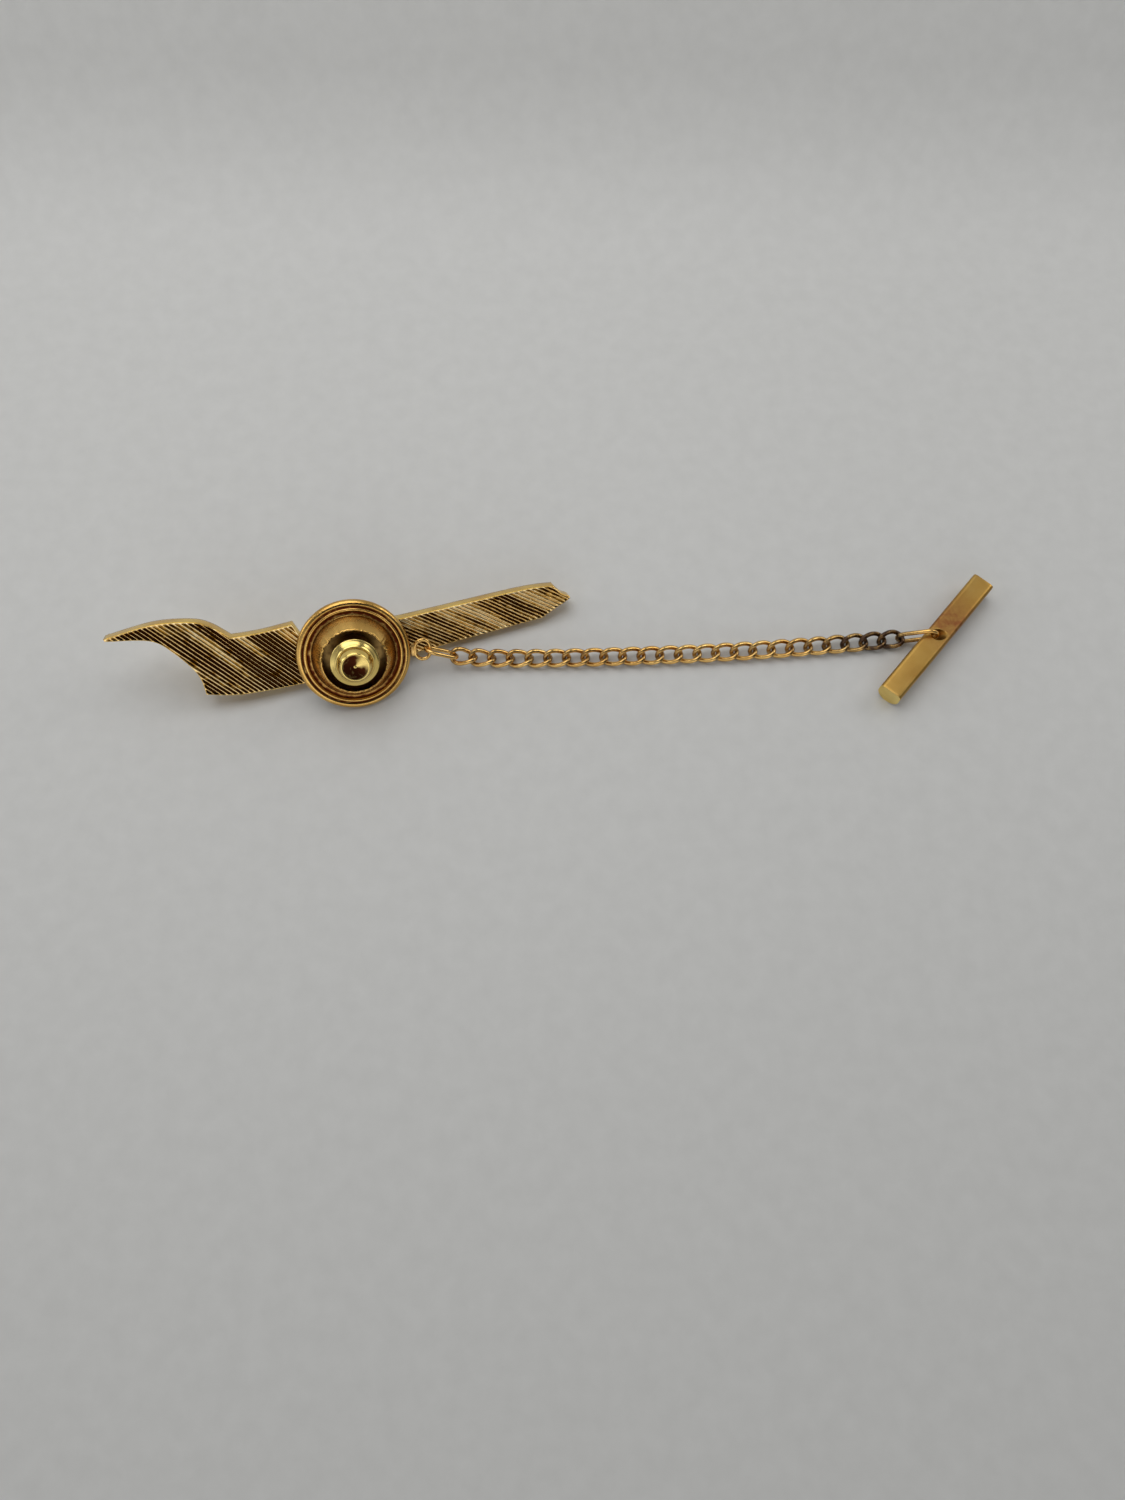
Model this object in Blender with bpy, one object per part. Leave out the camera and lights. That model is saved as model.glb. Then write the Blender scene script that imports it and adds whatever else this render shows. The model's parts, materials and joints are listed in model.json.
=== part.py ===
"""A gold-plated tie tack lying on a table, back side up.

A long cast ornament carries a pointed post. A ball-lock clutch grips the post, and a short
curb chain runs from the clutch to a T-bar that goes through a buttonhole. Metres, +Z up. The
clutch is wider than the ornament, so the two lean together on the clutch's rim and on the
ornament's long lower edge, while the chain and the T-bar lie flat.
"""
import math

import bmesh
import bpy
from mathutils import Matrix, Vector

MM = 0.001
FIT = 0.02  # play between pieces that are pressed or soldered together

# The leaning ornament: where the post stands, which way its long edge runs, how far it leans
POST_FOOT = (-22.22, -1.55)
EDGE_TURN_DEG = 17.1
LEAN_DEG = 45.0

# Ornament plate
PLATE_THICK = 1.8
PLATE_CHAMFER = 0.3
EDGE_LOW = -2.4  # the long lower edge, measured from the post
CURVE_STEPS = 3

# Post
POST_R = 0.5
POST_LENGTH = 6.05
POST_POINT = 1.0
POST_GROOVE = 0.06
SOLDER_R = 1.25
SOLDER_THICK = 0.25

# Clutch, heights measured from its own underside
RIM_R = 5.4
RIM_WIRE_R = 0.5
BEAD_R = 4.93
WALL_FOOT_R = 4.34
MOUTH_R = 3.40
MOUTH_TOP = 2.87
SHELL_THICK = 0.16
BASE_R = 4.98
BASE_LOW = 0.04
BASE_TOP = 0.40
BASE_HOLE_R = 0.62
CUP_R = 2.15
CUP_THICK = 0.2
CUP_TOP = 2.80
CUP_HOLE_R = 1.10
RACE_TOP = 1.40
RACE_LOW_R = 1.14
RACE_SLOPE = 0.32
CAGE_LOW = 0.50
CAGE_R = 1.0
CAGE_BORE_R = 0.57
CAGE_TOP = 3.50
COLLAR_R = 1.80
COLLAR_LOW = 1.50
COLLAR_TOP = 1.68
BALL_R = 0.38
BALL_UP = 0.95
BALLS = 3
SPRING_R = 1.50
SPRING_WIRE_R = 0.09
SPRING_TURNS = 2.0
KNOB_FLANGE_R = 2.5
KNOB_FLANGE_LOW = 3.05
KNOB_FLANGE_TOP = 3.35
KNOB_BOSS_R = 1.88
KNOB_TOP_R = 1.42
KNOB_TOP = 4.78
KNOB_PIT = 4.52

# Eyelet on the clutch's rim, and the jump ring through it
EYELET_TURN_DEG = -12.0
EYELET_R = 7.15
EYELET_WIRE_R = 0.2
EYELET_HALF = (0.78, 1.05)
JUMP_WIRE_R = 0.22
JUMP_HALF_WIDTH = 0.85

# Chain
LINKS = 24
LINK_PITCH = 2.0
LINK_HALF_LENGTH = 1.285
LINK_HALF_WIDTH = 0.785
LINK_TWIST = 0.38
LINK_WIRE_R = 0.25
LINK_STEPS = 20
FIRST_LINK_X = -10.63
SAG_X = -5.08
SAG_Y = -1.88
SAG_BEND = 0.00135
RAISE = 0.55
RAISE_LINKS = 1.2
ROLL_DEG = 30.0
ROLL_LINKS = 10

# End ring and T-bar
END_WIRE_R = 0.24
END_HALF = (2.05, 0.85)
END_TILT_DEG = 25.0
END_PLAY = 0.07
BAR_HOLE = (39.95, 0.13)
BAR_TURN_DEG = 49.1
BAR_LENGTH = 17.4
BAR_HALF_WIDTH = 1.25
BAR_HEIGHT = 2.4
BAR_EDGE = 0.12
BAR_HOLE_R = 0.62
BAR_HOLE_SLOPE_DEG = 50.0

SIDES = 32
WIRE_SIDES = 6


def clear_scene():
    for ob in list(bpy.data.objects):
        bpy.data.objects.remove(ob, do_unlink=True)


def plated(name, color, rough):
    mat = bpy.data.materials.new(name)
    mat.use_nodes = True
    shader = mat.node_tree.nodes["Principled BSDF"]
    shader.inputs["Base Color"].default_value = (*color, 1.0)
    shader.inputs["Metallic"].default_value = 1.0
    shader.inputs["Roughness"].default_value = rough
    return mat


def make_object(name, bm, mat, parent=None, matrix=None, smooth=True):
    bmesh.ops.recalc_face_normals(bm, faces=bm.faces)
    for face in bm.faces:
        face.smooth = smooth
    mesh = bpy.data.meshes.new(name)
    bm.to_mesh(mesh)
    bm.free()
    mesh.materials.append(mat)
    return place(name, mesh, parent, matrix)


def place(name, mesh, parent=None, matrix=None):
    ob = bpy.data.objects.new(name, mesh)
    bpy.context.scene.collection.objects.link(ob)
    ob.parent = parent
    if matrix is not None:
        ob.matrix_local = matrix
    return ob


def frame_empty(name, matrix, parent=None):
    ob = bpy.data.objects.new(name, None)
    bpy.context.scene.collection.objects.link(ob)
    ob.parent = parent
    ob.matrix_local = matrix
    return ob


def axes_matrix(origin, x_axis, y_axis, z_axis):
    rot = Matrix((x_axis, y_axis, z_axis)).transposed().to_4x4()
    return Matrix.Translation(Vector(origin) * MM) @ rot


def revolve(profile, sides=SIDES, closed=True):
    """A turned solid: (radius, height) points in mm, going round a section that is closed, or
    from one point on the axis to another."""
    bm = bmesh.new()
    rings = []
    for radius, height in profile:
        if radius < 1e-9:
            rings.append([bm.verts.new((0, 0, height * MM))])
            continue
        ring = []
        for k in range(sides):
            a = 2 * math.pi * k / sides
            at = (radius * math.cos(a) * MM, radius * math.sin(a) * MM, height * MM)
            ring.append(bm.verts.new(at))
        rings.append(ring)
    count = len(rings) if closed else len(rings) - 1
    for i in range(count):
        join_rings(bm, rings[i], rings[(i + 1) % len(rings)])
    return bm


def join_rings(bm, a, b):
    n = max(len(a), len(b))
    for k in range(n):
        m = (k + 1) % n
        if len(a) == 1:
            bm.faces.new((a[0], b[k], b[m]))
        elif len(b) == 1:
            bm.faces.new((a[k], a[m], b[0]))
        else:
            bm.faces.new((a[k], a[m], b[m], b[k]))


def wire(bm, points, tangents, guides, radius, sides=WIRE_SIDES, loop=True):
    """A round wire along a line of points in mm; guides point away from the tangents."""
    rings = []
    for at, along, guide in zip(points, tangents, guides):
        along = along.normalized()
        out = (guide - along * guide.dot(along)).normalized()
        side = along.cross(out)
        ring = []
        for k in range(sides):
            a = 2 * math.pi * (k + 0.5) / sides
            p = at + (out * math.cos(a) + side * math.sin(a)) * radius
            ring.append(bm.verts.new(p * MM))
        rings.append(ring)
    count = len(rings) if loop else len(rings) - 1
    for i in range(count):
        join_rings(bm, rings[i], rings[(i + 1) % len(rings)])
    if not loop:
        bm.faces.new(rings[0])
        bm.faces.new(rings[-1])
    return bm


def racetrack(half_long, half_wide, steps):
    """A ring with straight sides and round ends in the local XY plane."""
    points = []
    tangents = []
    straight = half_long - half_wide
    for side, start in ((1, -90), (-1, 90)):
        for k in range(steps + 1):
            t = math.radians(start + 180 * k / steps)
            x = side * straight + half_wide * math.cos(t)
            points.append(Vector((x, half_wide * math.sin(t), 0)))
            tangents.append(Vector((-math.sin(t), math.cos(t), 0)))
    guides = [Vector((0, 0, 1))] * len(points)
    return points, tangents, guides


def arc(cx, cy, radius, start_deg, end_deg, steps):
    out = []
    for k in range(steps + 1):
        a = math.radians(start_deg + (end_deg - start_deg) * k / steps)
        out.append((cx + radius * math.cos(a), cy + radius * math.sin(a)))
    return out


def spline(points, steps):
    """A smooth run through a few points, leaving out the last one."""
    pts = [points[0], *points, points[-1]]
    out = []
    for i in range(1, len(pts) - 2):
        for k in range(steps):
            t = k / steps
            out.append(spline_point(pts[i - 1 : i + 3], t))
    return out


def spline_point(four, t):
    at = []
    for axis in (0, 1):
        a, b, c, d = (p[axis] for p in four)
        bend = 2 * a - 5 * b + 4 * c - d
        turn = -a + 3 * b - 3 * c + d
        at.append(0.5 * (2 * b + (c - a) * t + bend * t * t + turn * t ** 3))
    return tuple(at)


# ---------------------------------------------------------------- ornament


def ornament_outline():
    """The ornament seen from behind, with the post at the origin: a swept wing on the left, a
    waist behind the clutch, and a long blade on the right."""
    wing_top = [(-23.5, 7.7), (-18.6, 7.85), (-14.85, 7.1), (-13.1, 6.1), (-11.6, 4.45)]
    notch_top = [(-11.6, 4.45), (-8.7, 4.15), (-5.25, 4.1)]
    waist_top = [(-5.25, 4.1), (-4.7, 2.3)]
    blade_top = [(-4.7, 2.3), (5.2, 1.7), (18.2, 1.24), (22.3, 0.75)]
    blade_tip = [(22.3, 0.75), (23.0, -0.3), (23.8, -1.05), (22.2, -1.7), (20.4, EDGE_LOW)]
    low_edge = [(20.4, EDGE_LOW), (-6.1, EDGE_LOW)]
    wing_low = [(-6.1, EDGE_LOW), (-12.3, -1.8), (-15.9, -0.75)]
    wing_back = [(-15.9, -0.75), (-16.0, 1.6), (-17.6, 4.6), (-19.3, 6.3), (-22.9, 7.3)]
    runs = (
        spline(wing_top, CURVE_STEPS),
        spline(notch_top, CURVE_STEPS),
        waist_top[:1],
        spline(blade_top, CURVE_STEPS),
        spline(blade_tip, 2),
        low_edge[:1],
        spline(wing_low, CURVE_STEPS),
        spline(wing_back, CURVE_STEPS),
        [(-22.9, 7.3), (-23.45, 7.45)],
    )
    return [p for run in runs for p in run]


def inset(points, gap):
    """The outline moved inwards by gap; the points run clockwise."""
    out = []
    n = len(points)
    for i, here in enumerate(points):
        before = Vector(points[i - 1])
        after = Vector(points[(i + 1) % n])
        here = Vector(here)
        a = (here - before).normalized()
        b = (after - here).normalized()
        na = Vector((a.y, -a.x))
        nb = Vector((b.y, -b.x))
        mid = (na + nb).normalized()
        reach = gap / max(mid.dot(na), 0.6)
        out.append(here + mid * reach)
    return out


def build_plate(frame, mat):
    outline = ornament_outline()
    inner = inset(outline, PLATE_CHAMFER)
    levels = (
        (outline, 0.0),
        (outline, -(PLATE_THICK - PLATE_CHAMFER)),
        (inner, -PLATE_THICK),
    )
    bm = bmesh.new()
    rings = []
    for points, height in levels:
        rings.append([bm.verts.new((p[0] * MM, p[1] * MM, height * MM)) for p in points])
    join_rings(bm, rings[0], rings[1])
    join_rings(bm, rings[1], rings[2])
    back = bm.faces.new(rings[0])
    front = bm.faces.new(rings[2])
    bmesh.ops.triangulate(bm, faces=[back, front])
    return make_object("Ornament_plate", bm, mat, frame, smooth=False)


def build_post(frame, mat):
    top = POST_LENGTH
    neck = POST_R - POST_GROOVE
    groove = top - POST_POINT - 0.55
    profile = [(0.0, FIT), (POST_R, FIT), (POST_R, groove)]
    profile += [(neck, groove + 0.1), (neck, groove + 0.25), (POST_R, groove + 0.35)]
    profile += [(POST_R, top - POST_POINT), (0.12, top - 0.06), (0.0, top)]
    return make_object("Tack_post", revolve(profile, 20, closed=False), mat, frame)


def build_solder_ring(frame, mat):
    inner = POST_R + FIT
    profile = [(inner, FIT), (SOLDER_R, FIT), (SOLDER_R - 0.05, SOLDER_THICK * 0.5)]
    profile += [(POST_R + 0.35, SOLDER_THICK), (inner, SOLDER_THICK + 0.1)]
    return make_object("Post_solder_ring", revolve(profile, 24), mat, frame)


# ------------------------------------------------------------------ clutch


def build_shell(frame, mat):
    rim = arc(RIM_R, RIM_WIRE_R, RIM_WIRE_R, -125, 90, 9)
    bead = arc(BEAD_R, 0.94, 0.18, 20, 160, 4)
    profile = [(5.02, 0.14), *rim, (5.22, 0.93), *bead, (4.62, 0.93), (WALL_FOOT_R, 0.93)]
    profile += [(MOUTH_R + 0.04, MOUTH_TOP - 0.06), (MOUTH_R - 0.02, MOUTH_TOP)]
    profile += [(MOUTH_R - 0.12, MOUTH_TOP), (MOUTH_R - SHELL_THICK, MOUTH_TOP - 0.07)]
    profile += [(WALL_FOOT_R - 0.26, 0.70), (4.7, 0.62), (5.02, 0.55)]
    return make_object("Clutch_shell", revolve(profile, 48), mat, frame)


def build_base(frame, mat):
    profile = [(BASE_HOLE_R + 0.2, BASE_LOW), (BASE_R, BASE_LOW)]
    profile += [(BASE_R, BASE_TOP), (BASE_HOLE_R, BASE_TOP), (BASE_HOLE_R, 0.24)]
    return make_object("Clutch_base_plate", revolve(profile, 40), mat, frame)


def build_cup(frame, mat):
    low = BASE_TOP + FIT
    inside = CUP_R - CUP_THICK
    profile = [(inside, low), (CUP_R, low), (CUP_R, CUP_TOP - 0.1), (CUP_R - 0.1, CUP_TOP)]
    profile += [(CUP_HOLE_R, CUP_TOP), (CUP_HOLE_R, CUP_TOP - CUP_THICK + 0.02)]
    profile += [(inside, CUP_TOP - CUP_THICK + 0.02)]
    return make_object("Spring_cup", revolve(profile, SIDES), mat, frame)


def build_race(frame, mat):
    low = BASE_TOP + FIT
    outer = CUP_R - CUP_THICK - FIT
    top_r = RACE_LOW_R + RACE_SLOPE * (RACE_TOP - low)
    profile = [(RACE_LOW_R, low), (outer, low), (outer, RACE_TOP), (top_r, RACE_TOP)]
    return make_object("Ball_race", revolve(profile, SIDES), mat, frame)


def build_cage(frame, mat):
    """The tube that holds the balls against the post; three round windows let them through."""
    profile = [(CAGE_BORE_R, CAGE_LOW), (CAGE_R, CAGE_LOW), (CAGE_R, COLLAR_LOW)]
    profile += [(COLLAR_R, COLLAR_LOW), (COLLAR_R, COLLAR_TOP), (CAGE_R, COLLAR_TOP)]
    profile += [(CAGE_R, CAGE_TOP), (CAGE_BORE_R, CAGE_TOP)]
    cage = make_object("Ball_cage", revolve(profile, SIDES), mat, frame)
    for k in range(BALLS):
        cutter = window_cutter(frame, k)
        cut = cage.modifiers.new("window_%d" % (k + 1), "BOOLEAN")
        cut.operation = "DIFFERENCE"
        cut.solver = "EXACT"
        cut.object = cutter
    return cage


def window_cutter(frame, k):
    turn = 2 * math.pi * (k + 0.25) / BALLS
    bm = bmesh.new()
    bmesh.ops.create_cone(
        bm,
        cap_ends=True,
        segments=14,
        radius1=(BALL_R + 0.05) * MM,
        radius2=(BALL_R + 0.05) * MM,
        depth=1.1 * MM,
    )
    move = Matrix.Rotation(turn, 4, "Z")
    move = move @ Matrix.Translation((0.8 * MM, 0, BALL_UP * MM))
    move = move @ Matrix.Rotation(math.pi / 2, 4, "Y")
    bmesh.ops.transform(bm, matrix=move, verts=bm.verts)
    bmesh.ops.recalc_face_normals(bm, faces=bm.faces)
    mesh = bpy.data.meshes.new("window_cutter_%d" % (k + 1))
    bm.to_mesh(mesh)
    bm.free()
    ob = place("window_cutter_%d" % (k + 1), mesh, frame)
    ob.hide_render = True
    ob.display_type = "WIRE"
    return ob


def build_balls(frame, mat):
    reach = POST_R + BALL_R + FIT
    bm = bmesh.new()
    bmesh.ops.create_uvsphere(bm, u_segments=12, v_segments=8, radius=BALL_R * MM)
    for face in bm.faces:
        face.smooth = True
    mesh = bpy.data.meshes.new("Lock_ball")
    bm.to_mesh(mesh)
    bm.free()
    mesh.materials.append(mat)
    for k in range(BALLS):
        turn = 2 * math.pi * (k + 0.25) / BALLS
        spot = Vector((reach * math.cos(turn), reach * math.sin(turn), BALL_UP)) * MM
        place("Lock_ball_%d" % (k + 1), mesh, frame, Matrix.Translation(spot))


def build_spring(frame, mat):
    low = COLLAR_TOP + FIT + SPRING_WIRE_R
    high = CUP_TOP - CUP_THICK + 0.02 - FIT - SPRING_WIRE_R
    steps = int(SPRING_TURNS * 18)
    points = []
    tangents = []
    for k in range(steps + 1):
        f = k / steps
        a = 2 * math.pi * SPRING_TURNS * f
        height = low + (high - low) * f
        points.append(Vector((SPRING_R * math.cos(a), SPRING_R * math.sin(a), height)))
        rise = (high - low) / (2 * math.pi * SPRING_TURNS)
        tangents.append(Vector((-SPRING_R * math.sin(a), SPRING_R * math.cos(a), rise)))
    guides = [Vector((0, 0, 1))] * len(points)
    bm = wire(bmesh.new(), points, tangents, guides, SPRING_WIRE_R, loop=False)
    return make_object("Clutch_spring", bm, mat, frame)


def build_knob(frame, mat):
    bore = CAGE_R + FIT
    profile = [(bore, KNOB_FLANGE_LOW), (KNOB_FLANGE_R - 0.12, KNOB_FLANGE_LOW)]
    profile += arc(KNOB_FLANGE_R - 0.13, 3.18, 0.13, -50, 50, 3)
    profile += [(2.15, 3.48), (KNOB_BOSS_R, KNOB_FLANGE_TOP + 0.32), (1.79, 3.9), (1.73, 4.2)]
    profile += [(1.64, 4.45), (1.52, 4.66), (KNOB_TOP_R, KNOB_TOP), (KNOB_TOP_R - 0.1, KNOB_TOP - 0.02)]
    profile += [(0.16, KNOB_PIT), (0.0, KNOB_PIT + 0.05)]
    inside = [(0.0, 4.42), (CAGE_BORE_R, 4.36), (CAGE_BORE_R, CAGE_TOP + FIT)]
    inside += [(bore, CAGE_TOP + FIT), (bore, KNOB_FLANGE_LOW)]
    outside = revolve_shell(profile + inside)
    return make_object("Pull_knob", outside, mat, frame)


def revolve_shell(points):
    """A cap with a blind bore: the section runs up the outside to the axis, then down the bore."""
    top = next(i for i, p in enumerate(points) if p[0] < 1e-9)
    outer = points[: top + 1]
    inner = points[top + 1 : -1]
    bm = bmesh.new()
    rings = []
    for radius, height in outer + inner:
        if radius < 1e-9:
            rings.append([bm.verts.new((0, 0, height * MM))])
            continue
        ring = []
        for k in range(SIDES):
            a = 2 * math.pi * k / SIDES
            at = (radius * math.cos(a) * MM, radius * math.sin(a) * MM, height * MM)
            ring.append(bm.verts.new(at))
        rings.append(ring)
    for i in range(len(rings)):
        if i == top:
            continue
        join_rings(bm, rings[i], rings[(i + 1) % len(rings)])
    return bm


def build_eyelet(frame, mat):
    """A wire loop with a flat foot, in the plane of the clutch's rim."""
    turn = Matrix.Rotation(math.radians(EYELET_TURN_DEG), 4, "Z")
    spot = turn @ Matrix.Translation((EYELET_R * MM, 0, RIM_WIRE_R * MM))
    bm = bmesh.new()
    points, tangents, guides = racetrack(EYELET_HALF[1], EYELET_HALF[0], 9)
    wire(bm, points, tangents, guides, EYELET_WIRE_R)
    bmesh.ops.rotate(bm, matrix=Matrix.Rotation(math.pi / 2, 3, "Z"), verts=bm.verts)
    eyelet = make_object("Chain_eyelet", bm, mat, frame, spot)
    foot = foot_block(frame, spot)
    join = eyelet.modifiers.new("foot", "BOOLEAN")
    join.operation = "UNION"
    join.solver = "EXACT"
    join.object = foot
    return eyelet


def foot_block(frame, spot):
    bm = bmesh.new()
    bmesh.ops.create_cube(bm, size=1.0)
    reach = EYELET_R - RIM_R - RIM_WIRE_R - FIT - EYELET_HALF[0]
    size = Matrix.Diagonal((reach * MM, 1.3 * MM, 0.3 * MM, 1.0))
    shift = Matrix.Translation(((-EYELET_HALF[0] - reach * 0.5) * MM, 0, 0))
    bmesh.ops.transform(bm, matrix=shift @ size, verts=bm.verts)
    bmesh.ops.recalc_face_normals(bm, faces=bm.faces)
    mesh = bpy.data.meshes.new("eyelet_foot")
    bm.to_mesh(mesh)
    bm.free()
    ob = place("eyelet_foot", mesh, frame, spot)
    ob.hide_render = True
    ob.display_type = "WIRE"
    return ob


# ------------------------------------------------------------------- chain


def link_curve():
    points = []
    tangents = []
    for k in range(LINK_STEPS):
        t = 2 * math.pi * k / LINK_STEPS
        x = LINK_HALF_LENGTH * math.cos(t)
        y = LINK_HALF_WIDTH * math.sin(t)
        z = -LINK_TWIST * math.sin(2 * t)
        points.append(Vector((x, y, z)))
        dx = -LINK_HALF_LENGTH * math.sin(t)
        dy = LINK_HALF_WIDTH * math.cos(t)
        dz = -2 * LINK_TWIST * math.cos(2 * t)
        tangents.append(Vector((dx, dy, dz)))
    return points, tangents


def link_mesh(mat):
    """One curb link: an oval whose two ends are rolled opposite ways, so each fits the next."""
    points, tangents = link_curve()
    guides = [Vector((p.x * 0.6, p.y * 1.6, p.z)) for p in points]
    bm = wire(bmesh.new(), points, tangents, guides, LINK_WIRE_R)
    bmesh.ops.recalc_face_normals(bm, faces=bm.faces)
    for face in bm.faces:
        face.smooth = True
    mesh = bpy.data.meshes.new("Curb_link")
    bm.to_mesh(mesh)
    bm.free()
    mesh.materials.append(mat)
    return mesh


def rest_height(roll):
    """How high the middle of a rolled link lies when its lowest wire touches the table."""
    points, _ = link_curve()
    low = min(p.y * math.sin(roll) + p.z * math.cos(roll) for p in points)
    return LINK_WIRE_R - low


def link_roll(i):
    f = min(1.0, i / ROLL_LINKS)
    return math.radians(ROLL_DEG) * f * f * (3 - 2 * f)


def chain_point(x, i):
    y = SAG_Y + SAG_BEND * (x - SAG_X) ** 2
    z = rest_height(link_roll(i)) + RAISE * math.exp(-i / RAISE_LINKS)
    return Vector((x, y, z))


def chain_centres():
    """The links' middles, one pitch apart along the chain's sagging line."""
    out = [chain_point(FIRST_LINK_X, 0)]
    for i in range(1, LINKS + 1):
        x = out[-1].x + LINK_PITCH
        for _ in range(6):
            here = chain_point(x, i)
            x -= (here - out[-1]).length - LINK_PITCH
        out.append(chain_point(x, i))
    return out


def link_matrix(centres, i):
    before = centres[max(i - 1, 0)]
    after = centres[i + 1]
    along = (after - before).normalized()
    side = Vector((0, 0, 1)).cross(along).normalized()
    up = along.cross(side)
    roll = Matrix.Rotation(link_roll(i), 4, "X")
    return axes_matrix(centres[i], along, side, up) @ roll


def build_chain(mat):
    mesh = link_mesh(mat)
    centres = chain_centres()
    for i in range(LINKS):
        place("Chain_link_%02d" % (i + 1), mesh, None, link_matrix(centres, i))
    return centres


def build_jump_ring(clutch_matrix, centres, mat):
    """The oval ring from the eyelet to the first link."""
    turn = math.radians(EYELET_TURN_DEG)
    hold = EYELET_R + EYELET_HALF[0] - EYELET_WIRE_R - JUMP_WIRE_R - 0.06
    spot = Vector((hold * math.cos(turn), hold * math.sin(turn), RIM_WIRE_R)) * MM
    start = (clutch_matrix @ spot) / MM
    first = link_matrix(centres, 0)
    inside = LINK_HALF_LENGTH - LINK_WIRE_R - JUMP_WIRE_R - 0.07
    end = (first @ (Vector((-inside, 0, 0)) * MM)) / MM
    along = (end - start).normalized()
    through = clutch_matrix.to_3x3() @ Vector((0, 0, 1))
    wide = (through - along * through.dot(along)).normalized()
    flat = along.cross(wide)
    half = (end - start).length * 0.5
    bm = bmesh.new()
    points, tangents, guides = racetrack(half, JUMP_HALF_WIDTH, 9)
    wire(bm, points, tangents, guides, JUMP_WIRE_R, 8)
    middle = (start + end) * 0.5
    return make_object("Jump_ring", bm, mat, None, axes_matrix(middle, along, wide, flat))


# ------------------------------------------------------- end ring and T-bar


def end_ring_frame(centres):
    """The ring stands on edge in line with the chain and climbs into the bar's hole."""
    last = link_matrix(centres, LINKS - 1)
    inside = LINK_HALF_LENGTH - LINK_WIRE_R - END_WIRE_R - END_PLAY
    hook = (last @ (Vector((inside, 0, 0)) * MM)) / MM
    ahead = Vector((BAR_HOLE[0], BAR_HOLE[1], hook.z)) - hook
    ahead = Vector((ahead.x, ahead.y, 0)).normalized()
    tilt = math.radians(END_TILT_DEG)
    up = Vector((0, 0, 1))
    along = ahead * math.cos(tilt) + up * math.sin(tilt)
    wide = up * math.cos(tilt) - ahead * math.sin(tilt)
    middle = hook + along * END_HALF[0]
    return middle, along, wide, ahead


def build_end_ring(centres, mat):
    middle, along, wide, _ = end_ring_frame(centres)
    bm = bmesh.new()
    points, tangents, guides = racetrack(END_HALF[0], END_HALF[1], 9)
    wire(bm, points, tangents, guides, END_WIRE_R, 8)
    flat = along.cross(wide)
    return make_object("End_ring", bm, mat, None, axes_matrix(middle, along, wide, flat))


def build_bar(centres, mat):
    """The bar is flat on top and round below, with a slanting hole from its top to its side."""
    half = BAR_HALF_WIDTH
    section = [(half - BAR_EDGE, BAR_HEIGHT), (half, BAR_HEIGHT - BAR_EDGE)]
    section += arc(0, half, half, 0, -180, 14)
    section += [(-half, BAR_HEIGHT - BAR_EDGE), (-half + BAR_EDGE, BAR_HEIGHT)]
    turn = math.radians(BAR_TURN_DEG)
    bm = bmesh.new()
    rings = []
    for end in (-0.5, 0.5):
        x = end * BAR_LENGTH
        rings.append([bm.verts.new((x * MM, y * MM, z * MM)) for y, z in section])
    join_rings(bm, rings[0], rings[1])
    bm.faces.new(rings[0])
    bm.faces.new(rings[1])
    spot = Matrix.Translation((BAR_HOLE[0] * MM, BAR_HOLE[1] * MM, 0))
    spot = spot @ Matrix.Rotation(turn, 4, "Z")
    bar = make_object("T_bar", bm, mat, None, spot, smooth=False)
    for face in bar.data.polygons:
        face.use_smooth = abs(face.normal.x) < 0.5 and face.normal.z < 0.9
    cut = bar.modifiers.new("ring_hole", "BOOLEAN")
    cut.operation = "DIFFERENCE"
    cut.solver = "EXACT"
    cut.object = hole_cutter(centres)
    return bar


def hole_cutter(centres):
    """The hole starts in the middle of the bar's top and comes out on the chain's side."""
    ahead = end_ring_frame(centres)[3]
    slope = math.radians(BAR_HOLE_SLOPE_DEG)
    up = Vector((0, 0, 1))
    direction = ahead * math.cos(slope) + up * math.sin(slope)
    side = up.cross(ahead)
    over = direction.cross(side)
    top = Vector((BAR_HOLE[0], BAR_HOLE[1], BAR_HEIGHT))
    bm = bmesh.new()
    bmesh.ops.create_cone(
        bm,
        cap_ends=True,
        segments=24,
        radius1=BAR_HOLE_R * MM,
        radius2=BAR_HOLE_R * MM,
        depth=8.0 * MM,
    )
    bmesh.ops.recalc_face_normals(bm, faces=bm.faces)
    mesh = bpy.data.meshes.new("bar_hole_cutter")
    bm.to_mesh(mesh)
    bm.free()
    ob = place("bar_hole_cutter", mesh, None, axes_matrix(top, side, over, direction))
    ob.hide_render = True
    ob.display_type = "WIRE"
    return ob


# ---------------------------------------------------------------- assembly


def leaning_frame():
    """The ornament's own axes: along its long edge, across it, and out of its back."""
    turn = math.radians(EDGE_TURN_DEG)
    lean = math.radians(LEAN_DEG)
    along = Vector((math.cos(turn), math.sin(turn), 0))
    level = Vector((-math.sin(turn), math.cos(turn), 0))
    up = Vector((0, 0, 1))
    out = up * math.cos(lean) - level * math.sin(lean)
    across = level * math.cos(lean) + up * math.sin(lean)
    deep = PLATE_THICK - PLATE_CHAMFER
    foot_z = deep * math.cos(lean) - EDGE_LOW * math.sin(lean)
    foot = Vector((POST_FOOT[0], POST_FOOT[1], foot_z))
    stand_off = (RIM_R * math.sin(lean) + RIM_WIRE_R - foot_z) / math.cos(lean) - RIM_WIRE_R
    return axes_matrix(foot, along, across, out), stand_off


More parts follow.
